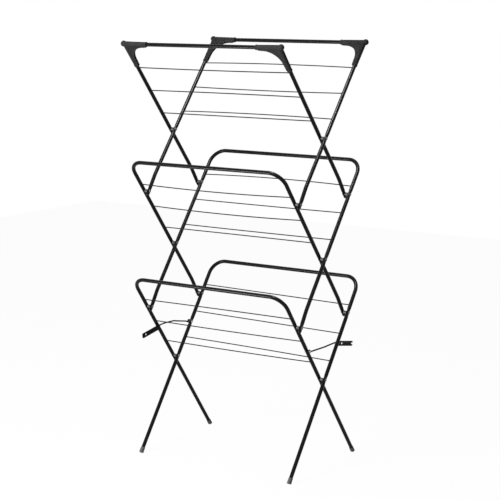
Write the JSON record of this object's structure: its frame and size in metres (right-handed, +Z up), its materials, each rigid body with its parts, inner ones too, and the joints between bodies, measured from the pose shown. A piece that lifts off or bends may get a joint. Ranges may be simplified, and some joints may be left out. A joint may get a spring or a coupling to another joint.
{
  "type": "folding clothes airer",
  "caption": "Free-standing folding laundry drying rack with hinged scissor frames, wire rungs, corner connectors, feet and side stays.",
  "frame": {"origin": "on the floor, under the middle of the open airer", "axes": "+X along the bars to the right, +Y to the back, +Z up"},
  "size_m": [0.657, 0.4896, 1.3984],
  "materials": {
    "tube_paint": "satin black powder coat on steel tube",
    "rung_wire": "black powder coat on steel wire",
    "stay_steel": "black powder coat on wire and strip",
    "corner_plastic": "matt moulded black plastic",
    "foot_plastic": "matt moulded dark grey plastic",
    "rivet_zinc": "zinc plated"
  },
  "bodies": {
    "lower_front": {"lower_front_frame": "tube_paint", "lower_front_rung_1": "rung_wire", "lower_front_rung_2": "rung_wire", "lower_front_rung_3": "rung_wire", "lower_front_left_foot": "foot_plastic", "lower_front_right_foot": "foot_plastic", "lower_front_left_junction_rivet": "rivet_zinc", "lower_front_right_junction_rivet": "rivet_zinc", "lower_left_crossing_rivet": "rivet_zinc", "lower_right_crossing_rivet": "rivet_zinc", "right_stay_pin": "rivet_zinc"},
    "lower_back": {"lower_back_frame": "tube_paint", "lower_back_rung_1": "rung_wire", "lower_back_rung_2": "rung_wire", "lower_back_rung_3": "rung_wire", "lower_back_left_foot": "foot_plastic", "lower_back_right_foot": "foot_plastic", "lower_back_left_junction_rivet": "rivet_zinc", "lower_back_right_junction_rivet": "rivet_zinc", "left_stay_pin": "rivet_zinc"},
    "middle_front": {"middle_front_frame": "tube_paint", "middle_front_rung_1": "rung_wire", "middle_front_rung_2": "rung_wire", "middle_front_rung_3": "rung_wire", "middle_front_left_junction_rivet": "rivet_zinc", "middle_front_right_junction_rivet": "rivet_zinc", "middle_left_crossing_rivet": "rivet_zinc", "middle_right_crossing_rivet": "rivet_zinc"},
    "middle_back": {"middle_back_frame": "tube_paint", "middle_back_rung_1": "rung_wire", "middle_back_rung_2": "rung_wire", "middle_back_rung_3": "rung_wire", "middle_back_left_junction_rivet": "rivet_zinc", "middle_back_right_junction_rivet": "rivet_zinc"},
    "upper_front": {"upper_front_bar": "tube_paint", "upper_front_left_leg": "tube_paint", "upper_front_left_corner": "corner_plastic", "upper_front_right_leg": "tube_paint", "upper_front_right_corner": "corner_plastic", "upper_front_rung_1": "rung_wire", "upper_front_rung_2": "rung_wire", "upper_front_rung_3": "rung_wire", "upper_left_crossing_rivet": "rivet_zinc", "upper_right_crossing_rivet": "rivet_zinc"},
    "upper_back": {"upper_back_bar": "tube_paint", "upper_back_left_leg": "tube_paint", "upper_back_left_corner": "corner_plastic", "upper_back_right_leg": "tube_paint", "upper_back_right_corner": "corner_plastic", "upper_back_rung_1": "rung_wire", "upper_back_rung_2": "rung_wire", "upper_back_rung_3": "rung_wire"},
    "left_stay": {"left_stay_wire": "stay_steel", "left_stay_plate": "stay_steel"},
    "right_stay": {"right_stay_wire": "stay_steel", "right_stay_plate": "stay_steel"}
  },
  "joints": [
    {"name": "lower_crossing", "type": "hinge", "parent": "lower_front", "child": "lower_back", "pos_m": [0, 0, 0.29936], "axis": [1, 0, 0], "range_deg": [0, 50]},
    {"name": "lower_front_junction", "type": "hinge", "parent": "lower_front", "child": "middle_back", "pos_m": [0, -0.14256, 0.49922], "axis": [1, 0, 0], "range_deg": [0, 50]},
    {"name": "middle_crossing", "type": "hinge", "parent": "middle_back", "child": "middle_front", "pos_m": [0, 0, 0.69909], "axis": [1, 0, 0], "range_deg": [-50, 0]},
    {"name": "middle_front_junction", "type": "hinge", "parent": "middle_front", "child": "upper_back", "pos_m": [0, -0.14748, 0.89535], "axis": [1, 0, 0], "range_deg": [0, 50]},
    {"name": "upper_crossing", "type": "hinge", "parent": "upper_back", "child": "upper_front", "pos_m": [0, 0, 1.09161], "axis": [1, 0, 0], "range_deg": [-50, 0]},
    {"name": "left_stay_pivot", "type": "hinge", "parent": "lower_back", "child": "left_stay", "pos_m": [-0.3025, 0.07781, 0.40845], "axis": [1, 0, 0], "range_deg": [-4, 0]},
    {"name": "right_stay_pivot", "type": "hinge", "parent": "lower_front", "child": "right_stay", "pos_m": [0.3025, -0.07781, 0.40845], "axis": [1, 0, 0], "range_deg": [0, 4]}
  ],
  "couplings": [
    {"joint": "lower_front_junction", "follows": "lower_crossing", "ratio": 1},
    {"joint": "middle_crossing", "follows": "lower_crossing", "ratio": -1},
    {"joint": "middle_front_junction", "follows": "lower_crossing", "ratio": 1},
    {"joint": "upper_crossing", "follows": "lower_crossing", "ratio": -1}
  ]
}
